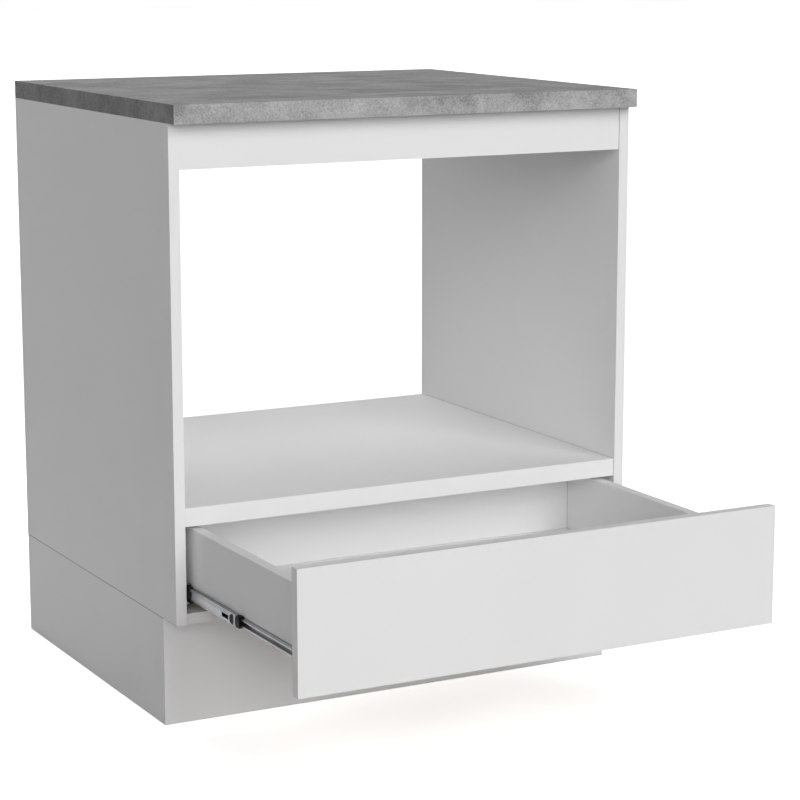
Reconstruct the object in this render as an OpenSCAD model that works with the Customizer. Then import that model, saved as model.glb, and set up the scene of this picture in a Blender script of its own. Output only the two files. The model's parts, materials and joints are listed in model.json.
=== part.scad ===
// Microwave base cabinet: an open appliance bay over a pull-out drawer, on a separate plinth box.
//
// Origin: on the floor, at the middle of the width, in the plane of the cabinet's back.
// +X is to the right, +Y is towards the wall and +Z is up, so the drawer opens towards -Y.
// Lengths are in millimetres. The left slide, side and fittings are drawn, and mirrored to the right.

/* [Cabinet] */
// Overall width across the side panels
cab_w = 700; // [500:10:900]
// Depth of the side panels
side_d = 580; // [560:5:650]
// Thickness of the side, bottom, rail, plinth and drawer boards
board_t = 15; // [15:1:18]
// Thickness of the shelf that carries the appliance
shelf_t = 25; // [18:1:30]
// Clear height of the open appliance bay
bay_h = 445; // [300:5:520]
// Clear height between the bottom panel and the shelf
drawer_space_h = 118; // [112:1:150]
// Height of the front and back top rails
rail_h = 60; // [56:1:100]
// How far the shelf, bottom and front rail lie behind the side panels' front edges
front_recess = 2; // [0:0.5:5]
// Thickness of the lower back panel and the drawer bottom
hardboard_t = 3; // [2.5:0.5:5]

/* [Worktop] */
// Thickness of the worktop
top_t = 25; // [20:1:40]
// How far the worktop stands out in front of the side panels
top_overhang = 20; // [5:1:40]

/* [Plinth] */
// Height of the plinth box
plinth_h = 150; // [90:5:180]
// How far the plinth lies behind the side panels' front edges
plinth_setback = 46; // [20:1:80]
// How far the plinth's ends lie inside the side panels' outer faces
plinth_reveal = 0.5; // [0:0.5:3]

/* [Drawer] */
// How far the drawer is pulled out in the stored pose
open_rest = 350; // [0:5:400]
// Gap between the closed drawer front and the side panels
front_gap = 1.5; // [1:0.5:3]
// How far the drawer front's ends lie inside the cabinet's width
front_reveal = 1.5; // [0:0.5:4]
// Height of the drawer front's lower edge above the side panels' lower edges
front_lift = 3; // [0:0.5:10]
// How far the drawer front reaches above the shelf
front_rise = 5; // [0:1:20]
// Gap between the drawer box and the bottom panel
box_clear_below = 17; // [10:1:25]
// Gap between the drawer box and the shelf
box_clear_above = 5; // [3:1:15]
// Height of the drawer bottom above the lower edges of the drawer sides
bottom_rise = 6; // [5:0.5:7]
// Depth of the grooves that hold the drawer bottom
groove_d = 6; // [4:0.5:8]

/* [Slides] */
// Nominal length of the slides
slide_len = 450; // [400:50:500]
// Thickness of a slide, from the side panel to the drawer box
slide_t = 12.5; // [12.5:0.1:13.5]
// Height of the cabinet member
slide_h = 27; // [27:0.5:30]
// Thickness of the rolled steel
steel_t = 1; // [0.9:0.05:1]
// Height of the slides' centre line above the lower edge of the drawer box
slide_rise = 10.3; // [8:0.1:30]
// How far the cabinet members lie behind the side panels' front edges
slide_setback = 3; // [2:1:10]
// How far the middle member lies behind the cabinet member's front end when closed
middle_inset = 23; // [15:1:40]
// Running clearance between balls, tracks and cages
run = 0.3; // [0.2:0.05:0.3]
// Radius of the balls between the cabinet and middle members
outer_ball_r = 2.1; // [1.9:0.05:2.1]
// Radius of the balls between the middle and drawer members
inner_ball_r = 1; // [0.9:0.05:1]
// Distance between neighbouring balls of a row
ball_pitch = 18; // [8:1:30]
// Thickness of the ball cages
cage_t = 1; // [0.8:0.1:1]
// Half height of the middle member's flat web
middle_web_half = 3.4; // [2.5:0.1:4]
// How far the middle member's edges lie behind its web
middle_back = 1.5; // [0.5:0.1:1.5]

/* [Fittings] */
// Diameter of the cam locks
cam_d = 15; // [12:1:16]
// Depth of the cam locks
cam_h = 12.5; // [10:0.5:12.5]
// Distance from a board's end to the centre of its cam
cam_reach = 34; // [24:1:40]
// Diameter of the wooden dowels
dowel_d = 8; // [6:1:8]
// Length of the wooden dowels
dowel_l = 30; // [25:1:35]
// Distance from the end connector of a joint to the board's front or back edge
joint_inset = 50; // [40:1:90]
// Distance between a cam and its neighbouring dowel
joint_step = 32; // [24:1:48]
// Length of each leg of the worktop brackets
bracket_leg = 20; // [16:1:30]
// Side of the square corner blocks in the plinth
block_side = 22; // [18:1:30]

/* [Hidden] */
$fn = 48;

// Cabinet: widths and heights
bay_w = cab_w - 2 * board_t;                    // between the side panels
space_z = plinth_h + board_t;                   // top of the bottom panel
shelf_z = space_z + drawer_space_h;             // underside of the shelf
bay_z = shelf_z + shelf_t;                      // top of the shelf
rail_z = bay_z + bay_h;                         // underside of the rails
top_z = rail_z + rail_h;                        // underside of the worktop
// Cabinet: depths
front_y = -side_d;                              // front edges of the side panels
inner_front_y = front_y + front_recess;         // front edges of the shelf, bottom and rail
inner_back_y = -hardboard_t;                    // back edges of the shelf, bottom and back rail
plinth_front_y = front_y + plinth_setback;      // front face of the plinth
plinth_x = cab_w / 2 - plinth_reveal;           // outer faces of the plinth sides
back_panel_play = 0.5;                          // between the lower back panel and the side panels
back_panel_low = 2;                             // lower edge above the bottom panel's underside
back_panel_drop = 5;                            // upper edge below the top of the shelf

// Drawer, closed
face_y = front_y - front_gap;                   // back face of the drawer front
box_w = bay_w - 2 * slide_t;                    // outside the drawer sides
box_z = space_z + box_clear_below;              // lower edges of the drawer sides
box_h = drawer_space_h - box_clear_below - box_clear_above;
box_short = 2;                                  // the box is this much shorter than its slides
box_back_y = face_y + slide_len - box_short;    // back face of the drawer back
bottom_z = box_z + bottom_rise;                 // underside of the drawer bottom
bottom_top_z = bottom_z + hardboard_t;          // top of the drawer bottom
front_low_z = plinth_h + front_lift;            // lower edge of the drawer front
front_top_z = bay_z + front_rise;               // upper edge of the drawer front

// Slides: heights of the tracks, from the slide's centre line
slide_z = box_z + slide_rise;
lip = 0.5;                                      // length of a rolled edge past the ball's centre
track_cut = 0.4;                                // depth of a ball track in a flat flange
outer_race_r = outer_ball_r + run;
inner_race_r = inner_ball_r + run;
outer_ball_z = slide_h / 2 - steel_t - outer_race_r;
middle_half = outer_ball_z - outer_race_r + track_cut;
inner_ball_z = middle_half - steel_t - inner_race_r;
inner_half = inner_ball_z - inner_race_r + track_cut;
inner_lip = 1.7;                                // turned-in lip of the drawer member
// Slides: places of the tracks, from the side panel's inner face
outer_corner_s = steel_t + outer_race_r;
middle_s = steel_t + cage_t + 2 * run;
middle_edge_s = middle_s + middle_back;
outer_ball_s = middle_edge_s + 1.5;
inner_cage_s = middle_edge_s + steel_t + run;
inner_s = inner_cage_s + cage_t + run;
inner_ball_s = slide_t - 2 * steel_t - run - inner_race_r;
// Slides: lengths, closed
slide_front_y = front_y + slide_setback;
slide_back_y = slide_front_y + slide_len;
bumper_len = 6;                                 // rear bumper in the cabinet member
bumper_gap = 1;                                 // between the closed middle member and its bumper
middle_front_y = slide_front_y + middle_inset;
middle_back_y = slide_back_y - bumper_len - bumper_gap;
inner_front_gap = 1;                            // between the drawer member and the drawer front
inner_short = 4;                                // the drawer member is this much shorter
inner_slide_y = face_y + inner_front_gap;
inner_slide_len = slide_len - inner_short;
stop_plate_len = 20;                            // front stop behind the middle member's end
stop_nose_len = 13;                             // front stop in front of the middle member's end
stop_nose_d = 18;                               // round of the front stop's nose
stop_hole_d = 14;                               // round hole for the front stop
stop_hole_back = 10.5;                          // its centre behind the middle member's end
latch_slot = [21, 6];                           // slot behind the front stop, length and height
latch_slot_back = 30.5;                         // its centre behind the middle member's end
// Slides: cages, closed. They travel half as far as the member that they follow.
outer_cage_y = slide_front_y + slide_len / 6;
outer_cage_len = 200;
outer_cage_nose = 46;                           // front end of the cage that holds no balls
inner_cage_y = middle_front_y + slide_len / 4 + stop_plate_len + 2;
inner_cage_len = 130;
inner_cage_nose = 10;
cage_tongue_len = 8;
middle_share = 1 / 2;                           // travel of the middle member per drawer travel
outer_cage_share = 1 / 4;
inner_cage_share = 3 / 4;

// Fittings
bolt_depth = 7.5;                               // from a board's face to its bolts and dowels
bolt_thread_d = 5;
bolt_thread_l = 10;
bolt_shank_d = 6;
bolt_hole_d = 7;
bolt_head_d = 6.4;
bolt_head_t = 2.5;
bolt_neck_l = 5;
cam_slot_d = 8;
driver_slot = [9, 1.6, 1];                      // screwdriver slot, length, width and depth
dowel_in_side = 10;
slide_screw_d = 3.5;
slide_screw_l = 9.5;
slide_screw_head_d = 6;
slide_screw_places = [0.12, 0.5, 0.86];         // along a slide member, as shares of its length
wood_screw_d = 4;
wood_screw_head_d = 8;
wood_screw_head_h = 2;
wood_screw_bite = 10;                           // length of the screw in the board behind
block_h = 60;                                   // height of the plinth's corner blocks
block_screw_step = 14;                          // from a block's ends to its level screws
block_edge = 6.5;                               // from a block's faces to its screws
block_top_screw_len = block_h + wood_screw_bite;
block_side_screw_len = block_side + wood_screw_bite;
bracket_t = 2;
bracket_w = 18;
bracket_inset = 120;                            // bracket's centre from the side panel
bracket_head_h = 1.6;
nail_d = 1.6;
nail_head_d = 4;
nail_head_h = 0.8;
nail_l = 18;
nail_pitch = 100;
back_screw_places = [0.35, 0.76];               // drawer back screws, shares of the box's height
back_screw_len = board_t + 25;
drawer_dowel_places = [0.22, 0.8];              // drawer front dowels, shares of the box's height
drawer_cam_place = 0.5;                         // drawer front cam, share of the box's height

// Colours
white = [0.93, 0.93, 0.93];
concrete = [0.55, 0.55, 0.54];
zinc = [0.62, 0.64, 0.66];
dark_plastic = [0.08, 0.08, 0.08];
beech = [0.78, 0.62, 0.42];
steel = [0.75, 0.76, 0.78];

// ---------------------------------------------------------------- helpers

// A block between its lowest and highest corners
module block(low, high) {
    translate(low) cube(high - low);
}

// Draws the left-hand form on the left (side -1) or mirrored on the right (side 1)
module on_side(side) {
    mirror([side > 0 ? 1 : 0, 0, 0]) children();
}

module both_sides() {
    for (side = [-1, 1]) on_side(side) children();
}

// Draws the upper form and its mirror image below the centre line
module up_and_down() {
    for (m = [0, 1]) mirror([0, m]) children();
}

// Moves a closed form to where it stands in the stored pose
module opened(share) {
    translate([0, -open_rest * share, 0]) children();
}

// Extrudes a profile in X and Z from y0 to y1
module along_depth(y0, y1) {
    translate([0, y1, 0]) rotate([90, 0, 0]) linear_extrude(y1 - y0) children();
}

// Moves a slide's profile to the left side panel's inner face and the slide's centre line
module at_slide() {
    translate([-bay_w / 2, 0, slide_z]) children();
}

// A quarter of a rolled edge round c: side -1 is the upper left quarter, 1 the upper right
module rolled_quarter(c, r, side) {
    translate(c) intersection() {
        difference() {
            circle(r + steel_t);
            circle(r);
        }
        translate([side < 0 ? -(r + steel_t) : 0, 0]) square(r + steel_t);
    }
}

// A cylinder along +X from x0 to x1
module rod_x(x0, x1, d) {
    translate([x0, 0, 0]) rotate([0, 90, 0]) cylinder(d = d, h = x1 - x0);
}

// The space that a countersunk screw fills, along -Z with its head's top at the origin
module flat_screw_space(d, head_d, head_h, len) {
    translate([0, 0, -head_h]) cylinder(d1 = d, d2 = head_d, h = head_h);
    translate([0, 0, d / 2 - len]) cylinder(d = d, h = len - d / 2);
    translate([0, 0, -len]) cylinder(d1 = d / 4, d2 = d, h = d / 2);
}

// A countersunk wood screw with a cross recess
module flat_screw(d, head_d, head_h, len) {
    recess_w = d / 4;
    difference() {
        flat_screw_space(d, head_d, head_h, len);
        for (a = [0, 90]) rotate([0, 0, a])
            translate([-head_d / 4, -recess_w / 2, -head_h / 2]) cube([head_d / 2, recess_w, head_h]);
    }
}

// ---------------------------------------------------------------- places of the joints

// Depths of the cams and dowels between a shelf or bottom and the side panels
cam_ys = [inner_front_y + joint_inset, inner_back_y - joint_inset];
dowel_ys = [cam_ys[0] + joint_step, cam_ys[1] - joint_step];
// Undersides of the boards that are joined to the side panels
flat_zs = [plinth_h, shelf_z];
// Back faces of the top rails
rail_backs = [inner_front_y + board_t, inner_back_y];
rail_mid_z = rail_z + rail_h / 2;
rail_step = rail_h / 5;

// Each place is a left board end's bolt axis, with the board towards +X and its cam face towards -Z
module at_flat_cams(zs) {
    for (z = zs, y = cam_ys) translate([-bay_w / 2, y, z + bolt_depth]) children();
}

module at_flat_dowels(zs) {
    for (z = zs, y = dowel_ys) translate([-bay_w / 2, y, z + bolt_depth]) children();
}

module at_rail_cams(backs) {
    for (y = backs)
        translate([-bay_w / 2, y - bolt_depth, rail_mid_z - rail_step]) rotate([90, 0, 0]) children();
}

module at_rail_dowels(backs) {
    for (y = backs)
        translate([-bay_w / 2, y - bolt_depth, rail_mid_z + rail_step]) rotate([90, 0, 0]) children();
}

// The drawer side's front end: the board is towards +Y and its cam face towards +X
module at_drawer_end(share) {
    translate([-box_w / 2 + board_t - bolt_depth, face_y, box_z + box_h * share])
        rotate([0, 0, 90]) rotate([-90, 0, 0]) children();
}

// ---------------------------------------------------------------- fittings

module cam_pocket() {
    translate([cam_reach, 0, -bolt_depth]) cylinder(d = cam_d, h = cam_h);
    rod_x(0, cam_reach, bolt_hole_d);
}

module cam_lock() {
    difference() {
        translate([cam_reach, 0, -bolt_depth]) cylinder(d = cam_d, h = cam_h);
        rod_x(cam_reach - cam_d, cam_reach + cam_slot_d / 4, cam_slot_d);
        translate([cam_reach - driver_slot[0] / 2, -driver_slot[1] / 2, -bolt_depth - driver_slot[2]])
            cube([driver_slot[0], driver_slot[1], 2 * driver_slot[2]]);
    }
}

// A bolt that is driven into the side panel, with a neck and head that the cam draws in
module cam_bolt() {
    neck_d = bolt_shank_d / 2;
    head_x = cam_reach - bolt_head_t / 2;
    rod_x(-bolt_thread_l, 0, bolt_thread_d);
    rod_x(0, head_x - bolt_neck_l, bolt_shank_d);
    rod_x(head_x - bolt_neck_l, head_x, neck_d);
    rod_x(head_x, head_x + bolt_head_t, bolt_head_d);
}

module bolt_bore() {
    rod_x(-bolt_thread_l, 0, bolt_thread_d);
}

module dowel() {
    chamfer = dowel_d / 8;
    rod_x(-dowel_in_side + chamfer, dowel_l - dowel_in_side - chamfer, dowel_d);
    for (end = [[-dowel_in_side, 1], [dowel_l - dowel_in_side, -1]])
        translate([end[0], 0, 0]) rotate([0, 90 * end[1], 0])
            cylinder(d1 = dowel_d - 2 * chamfer, d2 = dowel_d, h = chamfer);
}

module dowel_bore() {
    rod_x(-dowel_in_side, dowel_l - dowel_in_side, dowel_d);
}

// ---------------------------------------------------------------- carcass

module worktop() {
    color(concrete) difference() {
        block([-cab_w / 2, front_y - top_overhang, top_z], [cab_w / 2, 0, top_z + top_t]);
        at_brackets() bracket_screw_space();
    }
}

// Drawn as the left side panel
module side_panel() {
    color(white) difference() {
        block([-cab_w / 2, front_y, plinth_h], [-bay_w / 2, 0, top_z]);
        at_flat_cams(flat_zs) bolt_bore();
        at_flat_dowels(flat_zs) dowel_bore();
        at_rail_cams(rail_backs) bolt_bore();
        at_rail_dowels(rail_backs) dowel_bore();
        cabinet_slide_screw_row() slide_screw_space();
    }
}

module shelf_board(low_z, thick) {
    color(white) difference() {
        block([-bay_w / 2, inner_front_y, low_z], [bay_w / 2, inner_back_y, low_z + thick]);
        both_sides() {
            at_flat_cams([low_z]) cam_pocket();
            at_flat_dowels([low_z]) dowel_bore();
        }
        nail_row(low_z + thick / 2) nail();
        children();
    }
}

module shelf() {
    shelf_board(shelf_z, shelf_t);
}

module bottom_panel() {
    shelf_board(plinth_h, board_t) at_corner_blocks()
        at_block_top_screw() wood_screw_space(block_top_screw_len);
}

module top_rail(back_y) {
    color(white) difference() {
        block([-bay_w / 2, back_y - board_t, rail_z], [bay_w / 2, back_y, top_z]);
        both_sides() {
            at_rail_cams([back_y]) cam_pocket();
            at_rail_dowels([back_y]) dowel_bore();
        }
        at_brackets() bracket_screw_space();
    }
}

module lower_back_panel() {
    x = bay_w / 2 - back_panel_play;
    color(white) difference() {
        block([-x, inner_back_y, plinth_h + back_panel_low], [x, 0, bay_z - back_panel_drop]);
        back_panel_nail_rows() nail();
    }
}

// ---------------------------------------------------------------- back panel nails

// Nails along the back at height z, their heads flush with the plane of the back
module nail_row(z) {
    count = floor((bay_w - nail_pitch) / nail_pitch);
    for (i = [0 : count]) translate([(i - count / 2) * nail_pitch, 0, z]) rotate([90, 0, 0]) children();
}

module back_panel_nail_rows() {
    nail_row(plinth_h + board_t / 2) children();
    nail_row(shelf_z + shelf_t / 2) children();
}

// The nail's head is at the origin and its point towards +Z
module nail() {
    cylinder(d = nail_head_d, h = nail_head_h);
    cylinder(d = nail_d, h = nail_l - nail_d);
    translate([0, 0, nail_l - nail_d]) cylinder(d1 = nail_d, d2 = nail_d / 4, h = nail_d);
}

module back_panel_nails() {
    color(steel) back_panel_nail_rows() nail();
}

// ---------------------------------------------------------------- worktop brackets

// The inner top corner behind the front rail and in front of the back rail, with the rail towards -Y
module at_brackets() {
    both_sides() {
        translate([-bay_w / 2 + bracket_inset, inner_front_y + board_t, top_z]) children();
        translate([-bay_w / 2 + bracket_inset, inner_back_y - board_t, top_z])
            mirror([0, 1, 0]) children();
    }
}

module bracket_screw_places() {
    translate([0, bracket_leg * 0.6, -bracket_t]) rotate([180, 0, 0]) children();
    translate([0, bracket_t, -bracket_leg * 0.6]) rotate([-90, 0, 0]) children();
}

module bracket_screw_space() {
    bracket_screw_places() flat_screw_space(wood_screw_d, wood_screw_head_d, bracket_head_h,
                                            bracket_t + wood_screw_bite);
}

module worktop_brackets() {
    color(steel) at_brackets() difference() {
        union() {
            block([-bracket_w / 2, 0, -bracket_leg], [bracket_w / 2, bracket_t, 0]);
            block([-bracket_w / 2, 0, -bracket_t], [bracket_w / 2, bracket_leg, 0]);
        }
        bracket_screw_space();
    }
}

module bracket_screws() {
    color(zinc) at_brackets() bracket_screw_places()
        flat_screw(wood_screw_d, wood_screw_head_d, bracket_head_h, bracket_t + wood_screw_bite);
}

// ---------------------------------------------------------------- plinth

module plinth_front() {
    color(white) difference() {
        block([-plinth_x, plinth_front_y, 0], [plinth_x, plinth_front_y + board_t, plinth_h]);
        at_corner_blocks() at_block_y_screw() wood_screw_space(block_side_screw_len);
    }
}

module plinth_back() {
    x = plinth_x - board_t;
    color(white) difference() {
        block([-x, -board_t, 0], [x, 0, plinth_h]);
        at_corner_blocks() at_block_y_screw() wood_screw_space(block_side_screw_len);
    }
}

// Drawn as the left plinth side
module plinth_side() {
    color(white) difference() {
        block([-plinth_x, plinth_front_y + board_t, 0], [board_t - plinth_x, 0, plinth_h]);
        at_corner_blocks() at_block_x_screw() wood_screw_space(block_side_screw_len);
    }
}

// The plinth's inner top corners, with its boards towards -X and -Y and the bottom panel above
module at_corner_blocks() {
    both_sides() {
        translate([board_t - plinth_x, plinth_front_y + board_t, plinth_h]) children();
        translate([board_t - plinth_x, -board_t, plinth_h]) mirror([0, 1, 0]) children();
    }
}

// The upright screw stands near the block's free corner, and the level ones pass beside it
module at_block_top_screw() {
    translate([block_side - block_edge, block_side - block_edge, -block_h]) rotate([180, 0, 0]) children();
}

module at_block_x_screw() {
    translate([block_side, block_edge, block_screw_step - block_h]) rotate([0, 90, 0]) children();
}

module at_block_y_screw() {
    translate([block_edge, block_side, -block_screw_step]) rotate([-90, 0, 0]) children();
}

module wood_screw(len) {
    flat_screw(wood_screw_d, wood_screw_head_d, wood_screw_head_h, len);
}

module wood_screw_space(len) {
    flat_screw_space(wood_screw_d, wood_screw_head_d, wood_screw_head_h, len);
}

module plinth_corner_blocks() {
    color(beech) at_corner_blocks() difference() {
        block([0, 0, -block_h], [block_side, block_side, 0]);
        at_block_top_screw() wood_screw_space(block_top_screw_len);
        at_block_x_screw() wood_screw_space(block_side_screw_len);
        at_block_y_screw() wood_screw_space(block_side_screw_len);
    }
}

module plinth_block_screws() {
    color(zinc) at_corner_blocks() {
        at_block_top_screw() wood_screw(block_top_screw_len);
        at_block_x_screw() wood_screw(block_side_screw_len);
        at_block_y_screw() wood_screw(block_side_screw_len);
    }
}

// ---------------------------------------------------------------- carcass fittings

module carcass_cams() {
    color(zinc) both_sides() {
        at_flat_cams(flat_zs) cam_lock();
        at_rail_cams(rail_backs) cam_lock();
    }
}

module carcass_cam_bolts() {
    color(steel) both_sides() {
        at_flat_cams(flat_zs) cam_bolt();
        at_rail_cams(rail_backs) cam_bolt();
    }
}

module carcass_dowels() {
    color(beech) both_sides() {
        at_flat_dowels(flat_zs) dowel();
        at_rail_dowels(rail_backs) dowel();
    }
}

// ---------------------------------------------------------------- slides

// Cabinet member: a web with edges rolled round the outer ball tracks
module outer_profile() {
    translate([0, -outer_ball_z]) square([steel_t, 2 * outer_ball_z]);
    up_and_down() {
        rolled_quarter([outer_corner_s, outer_ball_z], outer_race_r, -1);
        translate([outer_corner_s, outer_ball_z + outer_race_r])
            square([outer_ball_s - outer_corner_s, steel_t]);
        rolled_quarter([outer_ball_s, outer_ball_z], outer_race_r, 1);
        translate([outer_ball_s + outer_race_r, outer_ball_z - lip]) square([steel_t, lip]);
    }
}

// Corners of a flat web at web_s, with slopes up and down to its edges and flat sides on to end_s
function web_corners(web_s, half, end_s) = [
    [end_s, half], [web_s + middle_back, half], [web_s, middle_web_half],
    [web_s, -middle_web_half], [web_s + middle_back, -half], [end_s, -half]
];

// Middle member: tracks on the outside of its flanges and rolled edges round the inner balls
module middle_profile() {
    outside = web_corners(middle_s, middle_half, inner_ball_s);
    inside = web_corners(middle_s + steel_t, middle_half - steel_t, inner_ball_s);
    difference() {
        union() {
            polygon(concat(outside, [for (i = [5 : -1 : 0]) inside[i]]));
            up_and_down() {
                rolled_quarter([inner_ball_s, inner_ball_z], inner_race_r, 1);
                translate([inner_ball_s + inner_race_r, inner_ball_z - lip]) square([steel_t, lip]);
            }
        }
        up_and_down() translate([outer_ball_s, outer_ball_z]) circle(outer_race_r);
    }
}

// Drawer member: a channel with tracks on the outside and turned-in lips
module inner_profile() {
    difference() {
        union() {
            translate([slide_t - steel_t, -inner_ball_z]) square([steel_t, 2 * inner_ball_z]);
            up_and_down() {
                translate([inner_s, inner_half - steel_t]) square([slide_t - inner_s, steel_t]);
                translate([inner_s, inner_half - inner_lip]) square([steel_t, inner_lip]);
            }
        }
        up_and_down() translate([inner_ball_s, inner_ball_z]) circle(inner_race_r);
    }
}

// A ball cage: a web from web_s and arms that reach the balls at ball_s, ball_z
module cage_profile(web_s, ball_s, ball_z) {
    arm_r = cage_t / 2;
    translate([web_s, -ball_z]) square([cage_t, 2 * ball_z]);
    up_and_down() {
        translate([web_s + arm_r, ball_z]) circle(arm_r);
        translate([ball_s, ball_z]) circle(arm_r);
        translate([web_s + arm_r, ball_z - arm_r]) square([ball_s - web_s - arm_r, 2 * arm_r]);
    }
}

// The balls of one cage, in an upper and a lower row
module ball_rows(y, len, nose, ball_s, ball_z, r) {
    count = floor((len - nose - 2 * r) / ball_pitch);
    for (i = [0 : count], m = [-1, 1])
        translate([ball_s, y + nose + i * ball_pitch, m * ball_z]) sphere(r);
}

module cage(y, len, nose, web_s, ball_s, ball_z, ball_r) {
    color(dark_plastic) at_slide() difference() {
        along_depth(y, y + len) cage_profile(web_s, ball_s, ball_z);
        // the front end keeps a tongue between two notches
        for (m = [0, 1]) mirror([0, 0, m])
            block([0, y - 1, ball_z / 2], [ball_s, y + cage_tongue_len, ball_z - cage_t / 2]);
        ball_rows(y, len, nose, ball_s, ball_z, ball_r + run / 2);
    }
}

// Countersunk screws of a slide member, along +X through its web
module cabinet_slide_screw_row() {
    for (p = slide_screw_places) at_slide()
        translate([steel_t, slide_front_y + p * slide_len, 0]) rotate([0, 90, 0]) children();
}

module drawer_slide_screw_row() {
    for (p = slide_screw_places) at_slide()
        translate([slide_t - steel_t, inner_slide_y + p * inner_slide_len, 0])
            rotate([0, -90, 0]) children();
}

module slide_screw() {
    flat_screw(slide_screw_d, slide_screw_head_d, steel_t, slide_screw_l);
}

module slide_screw_space() {
    flat_screw_space(slide_screw_d, slide_screw_head_d, steel_t, slide_screw_l);
}

module slide_outer() {
    color(zinc) difference() {
        at_slide() along_depth(slide_front_y, slide_back_y) outer_profile();
        cabinet_slide_screw_row() slide_screw_space();
    }
}

module slide_middle() {
    slot_y = middle_front_y + latch_slot_back;
    color(zinc) opened(middle_share) at_slide() difference() {
        along_depth(middle_front_y, middle_back_y) middle_profile();
        translate([0, middle_front_y + stop_hole_back, 0])
            rod_x(middle_s - 1, middle_edge_s + steel_t, stop_hole_d);
        block([middle_s - 1, slot_y - latch_slot[0] / 2, -latch_slot[1] / 2],
              [middle_s + steel_t + 1, slot_y + latch_slot[0] / 2, latch_slot[1] / 2]);
    }
}

// Plastic stop: a plate inside the middle member, seen through its round hole, and a nose in front
module middle_stop() {
    plate_top_s = inner_s - run;
    nose_y = middle_front_y - stop_nose_len;
    passage = inner_half + run;
    color(dark_plastic) opened(middle_share) at_slide() {
        along_depth(middle_front_y, middle_front_y + stop_plate_len)
            polygon(web_corners(middle_s + steel_t, middle_half - steel_t, plate_top_s));
        intersection() {
            along_depth(nose_y, middle_front_y) difference() {
                polygon(web_corners(middle_s, middle_half - track_cut, slide_t - steel_t - run));
                translate([plate_top_s, -passage]) square([slide_t, 2 * passage]);
            }
            translate([0, nose_y + stop_nose_d / 2, 0]) rod_x(0, slide_t, stop_nose_d);
        }
    }
}

module slide_inner() {
    color(zinc) opened(1) difference() {
        at_slide() along_depth(inner_slide_y, inner_slide_y + inner_slide_len) inner_profile();
        drawer_slide_screw_row() slide_screw_space();
    }
}

module outer_cage() {
    opened(outer_cage_share) cage(outer_cage_y, outer_cage_len, outer_cage_nose, steel_t + run,
                                  outer_ball_s, outer_ball_z, outer_ball_r);
}

module outer_balls() {
    color(steel) opened(outer_cage_share) at_slide()
        ball_rows(outer_cage_y, outer_cage_len, outer_cage_nose, outer_ball_s, outer_ball_z, outer_ball_r);
}

module inner_cage() {
    opened(inner_cage_share) cage(inner_cage_y, inner_cage_len, inner_cage_nose, inner_cage_s,
                                  inner_ball_s, inner_ball_z, inner_ball_r);
}

module inner_balls() {
    color(steel) opened(inner_cage_share) at_slide()
        ball_rows(inner_cage_y, inner_cage_len, inner_cage_nose, inner_ball_s, inner_ball_z, inner_ball_r);
}

module slide_rear_bumpers() {
    color(dark_plastic) both_sides() at_slide()
        block([steel_t, slide_back_y - bumper_len, -middle_half],
              [outer_ball_s + outer_race_r, slide_back_y, middle_half]);
}

module cabinet_slide_screws() {
    color(steel) both_sides() cabinet_slide_screw_row() slide_screw();
}

module drawer_slide_screws() {
    color(steel) opened(1) both_sides() drawer_slide_screw_row() slide_screw();
}

// ---------------------------------------------------------------- drawer

module drawer_bottom_space() {
    x = box_w / 2 - board_t + groove_d;
    block([-x, face_y - groove_d, bottom_z], [x, box_back_y, bottom_top_z]);
}

module drawer_front() {
    x = cab_w / 2 - front_reveal;
    color(white) opened(1) difference() {
        block([-x, face_y - board_t, front_low_z], [x, face_y, front_top_z]);
        drawer_bottom_space();
        both_sides() {
            at_drawer_end(drawer_cam_place) bolt_bore();
            for (p = drawer_dowel_places) at_drawer_end(p) dowel_bore();
        }
    }
}

// Drawn as the left drawer side
module drawer_side() {
    color(white) opened(1) difference() {
        block([-box_w / 2, face_y, box_z], [board_t - box_w / 2, box_back_y, box_z + box_h]);
        drawer_bottom_space();
        at_drawer_end(drawer_cam_place) cam_pocket();
        for (p = drawer_dowel_places) at_drawer_end(p) dowel_bore();
        drawer_slide_screw_row() slide_screw_space();
        at_back_screws() wood_screw_space(back_screw_len);
    }
}

module drawer_back() {
    x = box_w / 2 - board_t;
    color(white) opened(1) difference() {
        block([-x, box_back_y - board_t, bottom_top_z], [x, box_back_y, box_z + box_h]);
        both_sides() at_back_screws() wood_screw_space(back_screw_len);
        drawer_nail_row() nail();
    }
}

module drawer_bottom() {
    color(white) opened(1) difference() {
        drawer_bottom_space();
        drawer_nail_row() nail();
    }
}

module drawer_cams() {
    color(zinc) opened(1) both_sides() at_drawer_end(drawer_cam_place) cam_lock();
}

module drawer_cam_bolts() {
    color(steel) opened(1) both_sides() at_drawer_end(drawer_cam_place) cam_bolt();
}

module drawer_dowels() {
    color(beech) opened(1) both_sides() for (p = drawer_dowel_places) at_drawer_end(p) dowel();
}

// Screws through a drawer side into the end of the drawer back
module at_back_screws() {
    for (p = back_screw_places)
        translate([-box_w / 2, box_back_y - board_t / 2, box_z + box_h * p]) rotate([0, -90, 0]) children();
}

module drawer_back_screws() {
    color(zinc) opened(1) both_sides() at_back_screws() wood_screw(back_screw_len);
}

// Nails up through the drawer bottom into the lower edge of the drawer back
module drawer_nail_row() {
    span = box_w - 2 * board_t;
    count = floor((span - nail_pitch) / nail_pitch);
    for (i = [0 : count])
        translate([(i - count / 2) * nail_pitch, box_back_y - board_t / 2, bottom_z]) children();
}

module drawer_bottom_nails() {
    color(steel) opened(1) drawer_nail_row() nail();
}

// ---------------------------------------------------------------- nodes

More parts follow.
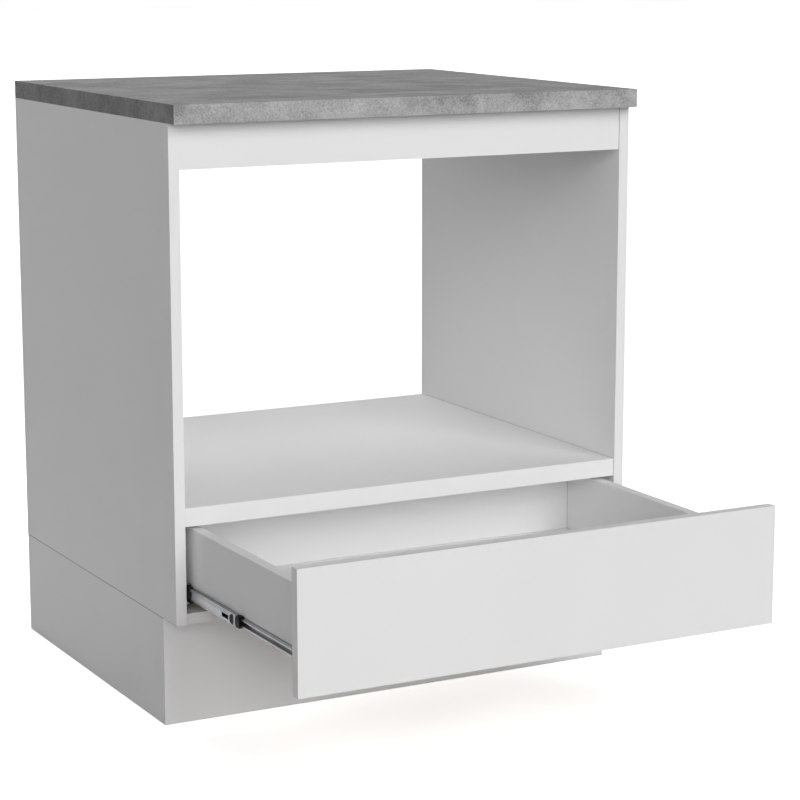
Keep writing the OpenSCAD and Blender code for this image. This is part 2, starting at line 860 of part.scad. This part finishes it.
worktop();
on_side(-1) side_panel();  // side_left
on_side(1) side_panel();  // side_right
top_rail(rail_backs[0]);  // front_rail
top_rail(rail_backs[1]);  // back_rail
shelf();
bottom_panel();
lower_back_panel();
plinth_front();
plinth_back();
on_side(-1) plinth_side();  // plinth_side_left
on_side(1) plinth_side();  // plinth_side_right
plinth_corner_blocks();
plinth_block_screws();
worktop_brackets();
bracket_screws();
carcass_cams();
carcass_cam_bolts();
carcass_dowels();
back_panel_nails();
on_side(-1) slide_outer();  // slide_outer_left
on_side(1) slide_outer();  // slide_outer_right
slide_rear_bumpers();
cabinet_slide_screws();
on_side(-1) slide_middle();  // slide_middle_left
on_side(1) slide_middle();  // slide_middle_right
on_side(-1) middle_stop();  // middle_stop_left
on_side(1) middle_stop();  // middle_stop_right
on_side(-1) outer_cage();  // outer_cage_left
on_side(1) outer_cage();  // outer_cage_right
on_side(-1) outer_balls();  // outer_balls_left
on_side(1) outer_balls();  // outer_balls_right
on_side(-1) inner_cage();  // inner_cage_left
on_side(1) inner_cage();  // inner_cage_right
on_side(-1) inner_balls();  // inner_balls_left
on_side(1) inner_balls();  // inner_balls_right
on_side(-1) slide_inner();  // slide_inner_left
on_side(1) slide_inner();  // slide_inner_right
drawer_slide_screws();
drawer_front();
on_side(-1) drawer_side();  // drawer_side_left
on_side(1) drawer_side();  // drawer_side_right
drawer_back();
drawer_bottom();
drawer_cams();
drawer_cam_bolts();
drawer_dowels();
drawer_back_screws();
drawer_bottom_nails();
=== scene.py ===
"""Microwave cabinet: finishes, bevelled edges, light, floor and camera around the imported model.

Lengths are in metres and angles in degrees. Azimuth 0 is in front of the cabinet, and 90 at its
right side.
"""
import json
import math

import bpy
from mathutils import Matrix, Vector

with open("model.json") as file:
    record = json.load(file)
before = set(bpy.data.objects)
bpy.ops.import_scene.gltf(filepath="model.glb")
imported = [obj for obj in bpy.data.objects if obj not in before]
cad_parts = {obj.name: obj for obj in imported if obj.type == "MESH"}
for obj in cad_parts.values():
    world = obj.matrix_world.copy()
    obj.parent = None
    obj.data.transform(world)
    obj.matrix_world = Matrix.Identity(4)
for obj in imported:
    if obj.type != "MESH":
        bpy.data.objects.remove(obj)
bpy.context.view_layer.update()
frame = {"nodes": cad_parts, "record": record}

WHITE = (1.0, 1.0, 1.0)


def grey(level):
    return (level, level, level)


# ---------------------------------------------------------------- node graphs

class Graph:
    """A node tree that is built one node at a time. Values may be numbers, colours or sockets."""

    def __init__(self, tree):
        self.tree = tree
        self.tree.nodes.clear()

    def add(self, kind, inputs, **settings):
        """A new node with its settings, and its inputs linked or set by name."""
        node = self.tree.nodes.new(kind)
        for name, value in settings.items():
            setattr(node, name, value)
        for name, value in inputs.items():
            self.feed(node.inputs[name], value)
        return node

    def feed(self, socket, value):
        """Link a socket into another, or set its own value."""
        if isinstance(value, bpy.types.NodeSocket):
            self.tree.links.new(value, socket)
        else:
            socket.default_value = value

    def place(self, stretch=(1, 1, 1)):
        """Object coordinates, stretched."""
        coordinates = self.add("ShaderNodeTexCoord", {})
        return self.add("ShaderNodeMapping", {"Vector": coordinates.outputs["Object"],
                                              "Scale": stretch}).outputs[0]

    def noise(self, size, detail=3.0, rough=0.5, vector=None, distort=0.0):
        """Noise whose blotches are about size across, from 0 to 1."""
        return self.add("ShaderNodeTexNoise", {"Vector": vector or self.place(), "Scale": 1 / size,
                                               "Detail": detail, "Roughness": rough,
                                               "Distortion": distort}).outputs[0]

    def cells(self, size):
        """Distance to the nearest point of a random set about size apart."""
        return self.add("ShaderNodeTexVoronoi",
                        {"Vector": self.place(), "Scale": 1 / size}).outputs["Distance"]

    def span(self, value, low, high, to_low, to_high):
        """value between low and high, taken to to_low and to_high."""
        return self.add("ShaderNodeMapRange", {"Value": value, "From Min": low, "From Max": high,
                                               "To Min": to_low, "To Max": to_high}).outputs[0]

    def maths(self, operation, a, b=0.0):
        """One operation on one or two values."""
        node = self.add("ShaderNodeMath", {}, operation=operation)
        for socket, value in zip(node.inputs, (a, b)):
            self.feed(socket, value)
        return node.outputs[0]

    def mixed(self, *parts):
        """The sum of (value, weight) pairs."""
        total = self.maths("MULTIPLY", *parts[0])
        for value, weight in parts[1:]:
            total = self.maths("ADD", total, self.maths("MULTIPLY", value, weight))
        return total

    def ramp(self, value, stops):
        """Colours at their places along value."""
        node = self.add("ShaderNodeValToRGB", {"Fac": value})
        elements = node.color_ramp.elements
        for index, (at, colour) in enumerate(stops):
            element = elements[index] if index < 2 else elements.new(at)
            element.position = at
            element.color = (*colour, 1)
        return node.outputs["Color"]

    def blend(self, value, a, b, kind="MIX"):
        """Colour a where value is 0, b where it is 1."""
        node = self.add("ShaderNodeMix", {}, data_type="RGBA", blend_type=kind)
        for name, given in (("Factor_Float", value), ("A_Color", a), ("B_Color", b)):
            socket = next(s for s in node.inputs if s.identifier == name)
            self.feed(socket, (*given, 1) if isinstance(given, tuple) else given)
        return next(s for s in node.outputs if s.identifier == "Result_Color")

    def tinted(self, colour, tint):
        """The colour times a tint."""
        return self.blend(1.0, colour, tint, kind="MULTIPLY")

    def bump(self, height, depth, strength=1.0, under=None):
        """A normal for a relief of this depth, over another normal."""
        inputs = {"Height": height, "Distance": depth, "Strength": strength}
        if under is not None:
            inputs["Normal"] = under
        return self.add("ShaderNodeBump", inputs).outputs[0]

    def along(self, axis, kind):
        """The part along an axis of a texture coordinate, such as the object's place or normal."""
        coordinate = self.add("ShaderNodeTexCoord", {}).outputs[kind]
        return self.add("ShaderNodeSeparateXYZ", {"Vector": coordinate}).outputs[axis]

    def facing(self, axis):
        """The part of the surface's own normal that lies along axis, from -1 to 1."""
        return self.along(axis, "Normal")

    def facing_either_way(self, axis):
        """1 on the faces that look along axis, forwards or back, and 0 on the others."""
        return self.span(self.maths("ABSOLUTE", self.facing(axis)), 0.7, 0.95, 0.0, 1.0)

    def seen(self, *kinds):
        """1 for these kinds of ray, which look at a surface, and 0 for those that light others."""
        path = self.add("ShaderNodeLightPath", {})
        value = path.outputs[kinds[0]]
        for kind in kinds[1:]:
            value = self.maths("MAXIMUM", value, path.outputs[kind])
        return value


def finish_of(name, build):
    """A material whose graph build(graph) makes, returning the shader's inputs."""
    material = bpy.data.materials.new(name)
    material.use_nodes = True
    graph = Graph(material.node_tree)
    shader = graph.add("ShaderNodeBsdfPrincipled", build(graph))
    graph.add("ShaderNodeOutputMaterial", {"Surface": shader.outputs[0]})
    return material


# ------------------------------------------------------------------ finishes

# Painted shade in the fine grooves where two boards meet, from ambient occlusion: how far it
# reaches, and how open they are (0.5 in a square corner, 1 on a flat face) where it is deepest and
# where it ends
GROOVE_REACH = 0.0015
GROOVE_PAINTED_SHADE = 0.65
GROOVE_CLOSED, GROOVE_OPEN = 0.5, 0.92
GROOVE_SAMPLES = 8

# Painted shadow of the fine gap where the carcass's sides stand on the plinth, as a dark line: its
# middle's height, half its width, how far out it starts, and its shade
PLINTH_LINE_Z = 0.14975
PLINTH_LINE_HALF = 0.00065
PLINTH_LINE_X = 0.3488
PLINTH_LINE_PAINTED_SHADE = 0.30


def painted_groove_shade(g, colour):
    """The colour with painted shade, darker where ambient occlusion finds the fine grooves between
    boards.
    """
    node = g.add("ShaderNodeAmbientOcclusion", {"Distance": GROOVE_REACH}, samples=GROOVE_SAMPLES)
    shade = g.ramp(node.outputs["AO"], [(GROOVE_CLOSED, grey(GROOVE_PAINTED_SHADE)), (GROOVE_OPEN, WHITE)])
    return g.tinted(colour, shade)


def painted_plinth_shadow_line(g, colour):
    """The colour with a painted shadow line for the fine gap where the carcass's sides stand on the
    plinth.
    """
    off = g.maths("ABSOLUTE", g.maths("SUBTRACT", g.along("Z", "Object"), PLINTH_LINE_Z))
    out = g.maths("ABSOLUTE", g.along("X", "Object"))
    line = g.maths("MULTIPLY", g.maths("LESS_THAN", off, PLINTH_LINE_HALF),
                   g.maths("GREATER_THAN", out, PLINTH_LINE_X))
    return g.blend(line, colour, g.tinted(colour, grey(PLINTH_LINE_PAINTED_SHADE)))


def white_melamine(g):
    """Satin white decor paper on particle board, with the fine pearl texture of the press plate."""
    drift = g.noise(0.22, detail=2.0)
    pearl = g.noise(0.0011, detail=2.0, rough=0.6)
    board = g.noise(0.014, detail=3.0)
    paper = g.ramp(drift, [(0.3, grey(0.862)), (0.7, grey(0.878))])
    # painted shade in the board joints and a painted shadow line at the plinth are multiplied into
    # the paper
    return {"Base Color": painted_plinth_shadow_line(g, painted_groove_shade(g, paper)),
            "Roughness": g.span(g.noise(0.05, detail=4.0), 0.3, 0.7, 0.50, 0.58),
            "Specular IOR Level": 0.16,
            "Normal": g.bump(pearl, 0.00004, under=g.bump(board, 0.00006))}


def concrete_laminate(g):
    """Concrete look: trowelled clouds, darker stains, fine grain and pin holes."""
    warped = g.place(stretch=(1.0, 1.25, 1.0))
    clouds = g.noise(0.12, detail=5.0, rough=0.55, vector=warped, distort=0.6)
    stains = g.noise(0.034, detail=6.0, rough=0.62, vector=warped, distort=0.4)
    grain = g.noise(0.0026, detail=4.0, rough=0.75)
    specks = g.cells(0.009)
    tone = g.maths("SUBTRACT", g.mixed((clouds, 0.8), (stains, 0.65), (grain, 1.05)), 0.75)
    colour = g.ramp(tone, [(0.2, grey(0.19)), (0.38, grey(0.29)), (0.5, grey(0.375)),
                           (0.62, grey(0.46)), (0.8, grey(0.57))])
    pits = g.span(specks, 0.0, 0.09, 1.0, 0.0)
    colour = g.blend(g.maths("MULTIPLY", pits, 0.35), colour, grey(0.17))
    # painted shade: the top is made darker than the front edge, and the end edges darker still, for
    # the lesser light on them
    colour = g.blend(g.facing_either_way("Z"), colour, g.tinted(colour, grey(0.70)))
    colour = g.blend(g.facing_either_way("X"), colour, g.tinted(colour, grey(0.62)))
    return {"Base Color": colour,
            "Roughness": g.span(stains, 0.3, 0.7, 0.5, 0.64),
            "Specular IOR Level": 0.06,
            "Normal": g.bump(grain, 0.0001, under=g.bump(specks, 0.00015, strength=0.4))}


def white_hardboard(g):
    """Thin fibreboard: white lacquer on the side that shows, raw brown fibres on the other."""
    fibres = g.noise(0.004, detail=5.0, rough=0.7, vector=g.place(stretch=(0.5, 1, 1)))
    raw = g.ramp(fibres, [(0.3, (0.25, 0.155, 0.085)), (0.7, (0.40, 0.27, 0.16))])
    white = g.ramp(g.noise(0.15), [(0.3, grey(0.78)), (0.7, grey(0.81))])
    down = g.span(g.facing("Z"), -0.9, -0.5, 1.0, 0.0)
    behind = g.span(g.facing("Y"), 0.5, 0.9, 0.0, 1.0)
    return {"Base Color": g.blend(g.maths("MAXIMUM", down, behind), white, raw),
            "Roughness": g.span(fibres, 0.3, 0.7, 0.42, 0.55),
            "Normal": g.bump(fibres, 0.00005)}


def wood(pale, dark, ring, stretch):
    """Plain sawn wood with rings about this wide and its grain along the least stretched axis."""
    def build(g):
        along = g.place(stretch=stretch)
        rings = g.noise(ring, detail=2.0, rough=0.5, vector=along, distort=1.2)
        pores = g.noise(ring / 9, detail=4.0, rough=0.7, vector=along)
        tone = g.mixed((rings, 0.7), (pores, 0.3))
        return {"Base Color": g.ramp(tone, [(0.35, dark), (0.62, pale)]),
                "Roughness": g.span(pores, 0.3, 0.7, 0.55, 0.72),
                "Normal": g.bump(pores, 0.0001)}
    return build


def plated(colour, smooth, rough, size):
    """Plated or rolled steel with soft streaks, between a smooth and a rough value."""
    def build(g):
        streaks = g.noise(size, detail=4.0, rough=0.6, vector=g.place(stretch=(1, 0.08, 1)))
        spangle = g.noise(size * 2.5, detail=1.0)
        dull, pale = (tuple(c * gain for c in colour) for gain in (0.86, 1.08))
        tone = g.mixed((streaks, 0.5), (spangle, 0.5))
        return {"Base Color": g.ramp(tone, [(0.35, dull), (0.65, pale)]),
                "Metallic": 1.0,
                "Roughness": g.span(streaks, 0.3, 0.7, smooth, rough),
                "Normal": g.bump(streaks, 0.00002)}
    return build


def black_plastic(g):
    """Moulded polymer with a fine spark-eroded grain."""
    grain = g.noise(0.0004, detail=2.0)
    return {"Base Color": g.ramp(g.noise(0.008), [(0.3, grey(0.005)), (0.7, grey(0.009))]),
            "Roughness": g.span(grain, 0.3, 0.7, 0.42, 0.56),
            "Specular IOR Level": 0.06,
            "Normal": g.bump(grain, 0.00002)}


FINISHES = {
    "white_melamine": white_melamine,
    "concrete_laminate": concrete_laminate,
    "white_hardboard": white_hardboard,
    "softwood_block": wood((0.66, 0.47, 0.27), (0.47, 0.29, 0.14), 0.006, (1, 1, 0.08)),
    "beech_dowel": wood((0.62, 0.42, 0.26), (0.46, 0.28, 0.15), 0.003, (0.08, 1, 1)),
    "slide_zinc": plated((0.27, 0.275, 0.28), 0.32, 0.45, 0.006),
    "bright_steel": plated((0.56, 0.56, 0.57), 0.18, 0.30, 0.003),
    "bearing_steel": plated((0.60, 0.60, 0.61), 0.06, 0.12, 0.002),
    "yellow_zinc": plated((0.62, 0.48, 0.22), 0.25, 0.38, 0.003),
    "cam_zinc": plated((0.44, 0.44, 0.45), 0.38, 0.52, 0.002),
    "black_plastic": black_plastic,
}


# -------------------------------------------------------------------- pieces

# Radius of the boards' edges, by finish
EDGE_ROUND = {"white_melamine": 0.0006, "concrete_laminate": 0.0006, "white_hardboard": 0.0003}
EDGE_SEGMENTS = 2
# Edges that turn by less than this stay as they are
EDGE_TURN = 50
MERGE = 0.00001

materials = {slot: finish_of(slot, build) for slot, build in FINISHES.items()}
for subpart in frame["record"]["subparts"]:
    piece = frame["nodes"][subpart["node"]]
    slot = subpart["material_slot"]
    piece.data.materials.clear()
    piece.data.materials.append(materials[slot])
    if slot in EDGE_ROUND:
        weld = piece.modifiers.new("one surface", "WELD")
        weld.merge_threshold = MERGE
        edge = piece.modifiers.new("edge band radius", "BEVEL")
        edge.width = EDGE_ROUND[slot]
        edge.segments = EDGE_SEGMENTS
        edge.limit_method = "ANGLE"
        edge.angle_limit = math.radians(EDGE_TURN)
        edge.harden_normals = True


# --------------------------------------------------------------------- stage

FLOOR_SIZE = 60.0
# The floor's colour for the light that it throws back, and for the camera and reflections
FLOOR_COLOUR = 0.43
FLOOR_SHOWN = 3.2
# The share of plain white in what the camera and reflections see of the floor
FLOOR_GLOW = 0.5
# Strength of the even light from all round; it shows as white
SKY = 0.02

bpy.ops.mesh.primitive_plane_add(size=FLOOR_SIZE, location=(0, 0, 0))
floor = bpy.context.object
floor.name = "floor"


def floor_finish():
    """A pale floor that takes the shadow, and shows as white where nothing shades it."""
    material = bpy.data.materials.new("floor")
    material.use_nodes = True
    g = Graph(material.node_tree)
    seen = g.seen("Is Camera Ray", "Is Glossy Ray")
    matt = g.add("ShaderNodeBsdfDiffuse",
                 {"Color": g.blend(seen, grey(FLOOR_COLOUR), grey(FLOOR_SHOWN))})
    glow = g.add("ShaderNodeEmission", {"Color": (*WHITE, 1), "Strength": 1.0})
    both = g.add("ShaderNodeMixShader", {"Fac": g.maths("MULTIPLY", seen, FLOOR_GLOW)})
    g.feed(both.inputs[1], matt.outputs[0])
    g.feed(both.inputs[2], glow.outputs[0])
    g.add("ShaderNodeOutputMaterial", {"Surface": both.outputs[0]})
    return material


def light_world():
    """A faint light from all round, seen as white behind the object and in its reflections."""
    world = bpy.data.worlds.new("studio")
    bpy.context.scene.world = world
    world.use_nodes = True
    g = Graph(world.node_tree)
    seen = g.seen("Is Camera Ray", "Is Glossy Ray", "Is Transmission Ray")
    background = g.add("ShaderNodeBackground",
                       {"Color": (*WHITE, 1), "Strength": g.span(seen, 0, 1, SKY, 1.0)})
    g.add("ShaderNodeOutputWorld", {"Surface": background.outputs[0]})


def hang(name, lamp):
    """Put a lamp in the scene, and return the object that holds it."""
    holder = bpy.data.objects.new(name, lamp)
    bpy.context.scene.collection.objects.link(holder)
    return holder


def soft_light(name, azimuth, elevation, strength, spread):
    """A broad, distant soft box."""
    lamp = bpy.data.lights.new(name, "SUN")
    lamp.energy = strength
    lamp.angle = math.radians(spread)
    a, e = math.radians(azimuth), math.radians(elevation)
    towards = Vector((math.sin(a) * math.cos(e), -math.cos(a) * math.cos(e), math.sin(e)))
    hang(name, lamp).rotation_euler = towards.to_track_quat("Z", "Y").to_euler()


def back_box(place, tilt, size, power):
    """A soft box behind the open bay. It lights the bay's inside, and doesn't show."""
    lamp = bpy.data.lights.new("back_box", "AREA")
    lamp.size = size
    lamp.energy = power
    box = hang("back_box", lamp)
    box.location = place
    box.rotation_euler = (math.radians(tilt - 90), 0, 0)
    box.visible_camera = False
    box.visible_glossy = False


floor.data.materials.append(floor_finish())
light_world()
soft_light("key", 14, 36, 1.00, 28)
soft_light("low_front", 12, 6, 0.88, 36)
soft_light("left_front", -25, 17, 0.78, 30)
soft_light("left_side", -62, 25, 0.42, 40)
soft_light("right_side", 100, 20, 0.40, 40)
soft_light("back", 180, 38, 0.60, 40)
back_box(place=(0.08, 1.05, 0.80), tilt=20, size=0.6, power=6.2)


# -------------------------------------------------------------------- camera

CAMERA_AT = (-1.5567, -3.4675, 1.0468)
# Turned to the right and down from the view straight at the back plane
CAMERA_YAW = 28.10
CAMERA_PITCH = 10.75
# Focal length and sensor width in millimetres
CAMERA_LENS = 109.8
CAMERA_SENSOR = 36
CAMERA_REACH = 200

data = bpy.data.cameras.new("camera")
data.lens = CAMERA_LENS
data.sensor_width = CAMERA_SENSOR
data.clip_end = CAMERA_REACH
camera = hang("camera", data)
camera.location = CAMERA_AT
camera.rotation_euler = (math.radians(90 - CAMERA_PITCH), 0, math.radians(-CAMERA_YAW))
bpy.context.scene.camera = camera

bpy.context.scene.view_settings.view_transform = "Standard"
